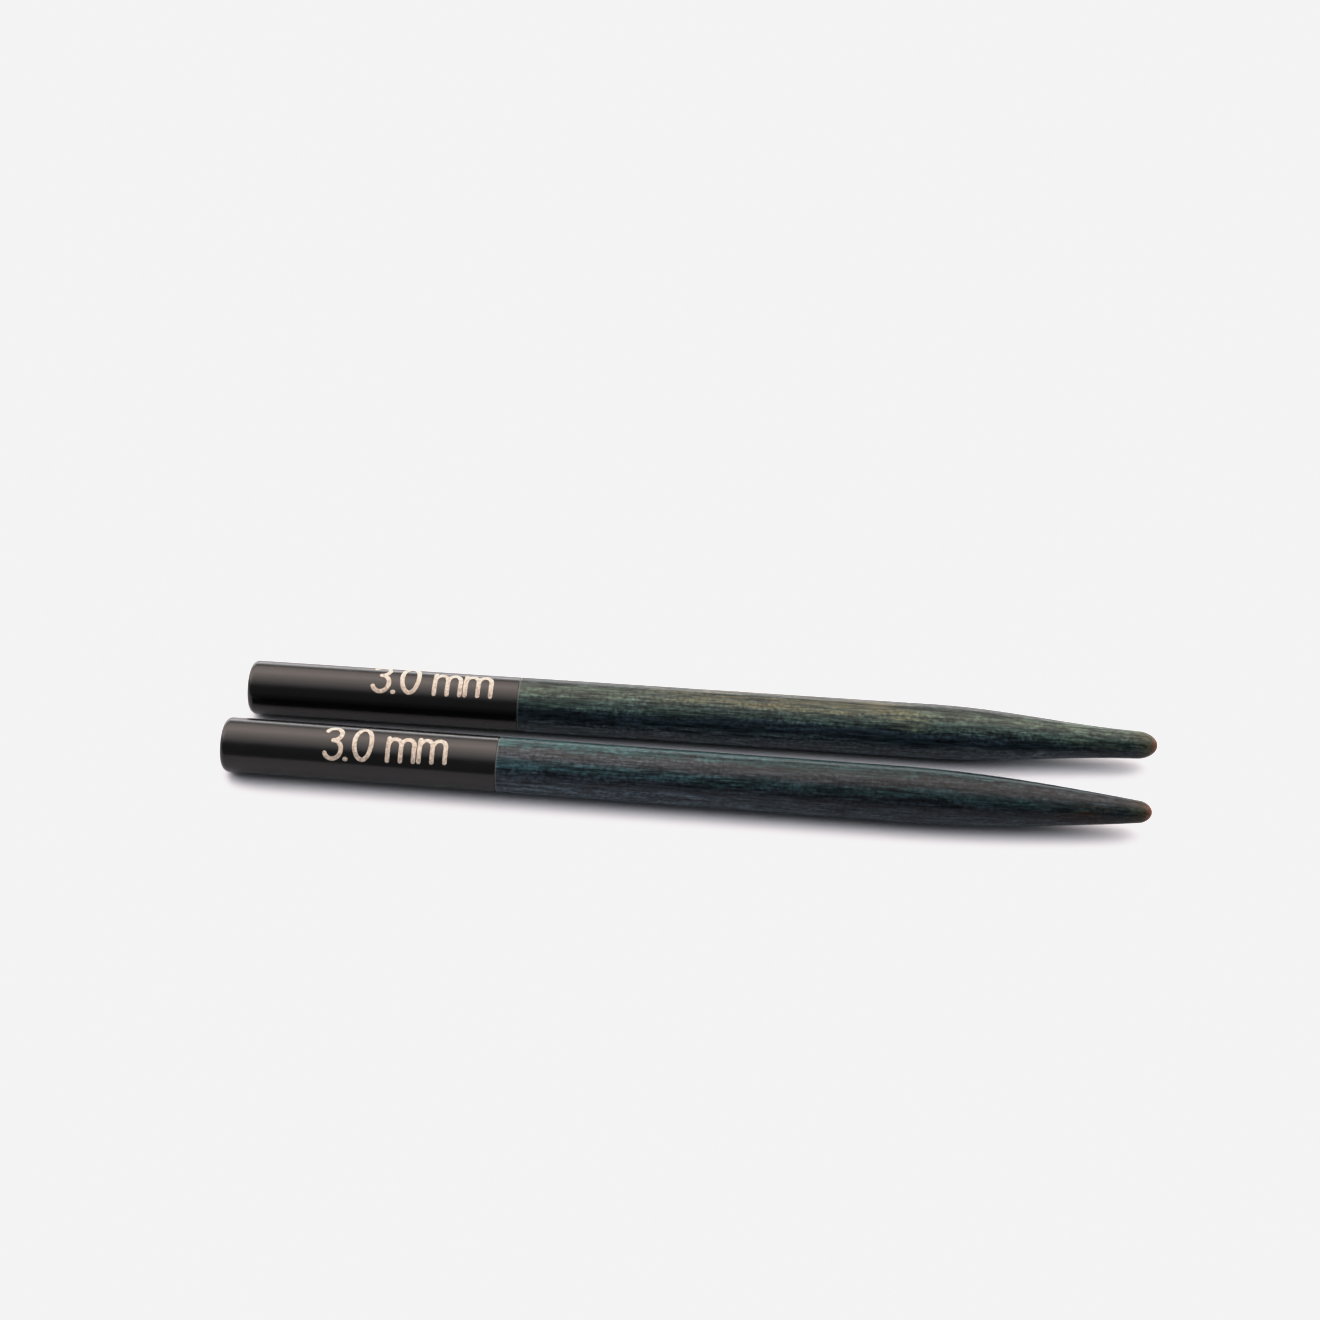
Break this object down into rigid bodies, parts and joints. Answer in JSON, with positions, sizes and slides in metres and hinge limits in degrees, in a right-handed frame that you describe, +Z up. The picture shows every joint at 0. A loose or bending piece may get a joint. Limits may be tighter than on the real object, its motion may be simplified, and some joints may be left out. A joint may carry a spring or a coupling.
{
  "type": "interchangeable knitting needle tips",
  "caption": "Short interchangeable knitting needle tips of laminated dyed wood, each tapering to a rounded point and glued into a black metal ferrule with a threaded cord socket.",
  "frame": {"origin": "on the table under the middle of the pair, at the bottom centre of its bounding box", "axes": "+X towards the points, +Y from the front needle to the rear one, +Z up from the table"},
  "size_m": [0.0505, 0.008, 0.003],
  "materials": {
    "black_lacquer": "black lacquer over turned brass, satin gloss",
    "epoxy": "cured amber epoxy",
    "petrol_veneer": "dyed birch, lacquered",
    "navy_veneer": "dyed birch, lacquered",
    "teal_veneer": "dyed birch, lacquered",
    "slate_veneer": "dyed birch, lacquered",
    "green_veneer": "dyed birch, lacquered"
  },
  "bodies": {
    "front_tip": {"front_ferrule": "black_lacquer", "front_glue": "epoxy", "front_ply_1": "petrol_veneer", "front_ply_2": "navy_veneer", "front_ply_3": "teal_veneer", "front_ply_4": "slate_veneer", "front_ply_5": "green_veneer"},
    "rear_tip": {"rear_ferrule": "black_lacquer", "rear_glue": "epoxy", "rear_ply_1": "petrol_veneer", "rear_ply_2": "navy_veneer", "rear_ply_3": "teal_veneer", "rear_ply_4": "slate_veneer", "rear_ply_5": "green_veneer"}
  },
  "joints": [
    {"name": "rear_tip_lift", "type": "slide", "parent": "front_tip", "child": "rear_tip", "axis": [0, 0, 1], "range_m": [0, 0.03]}
  ]
}
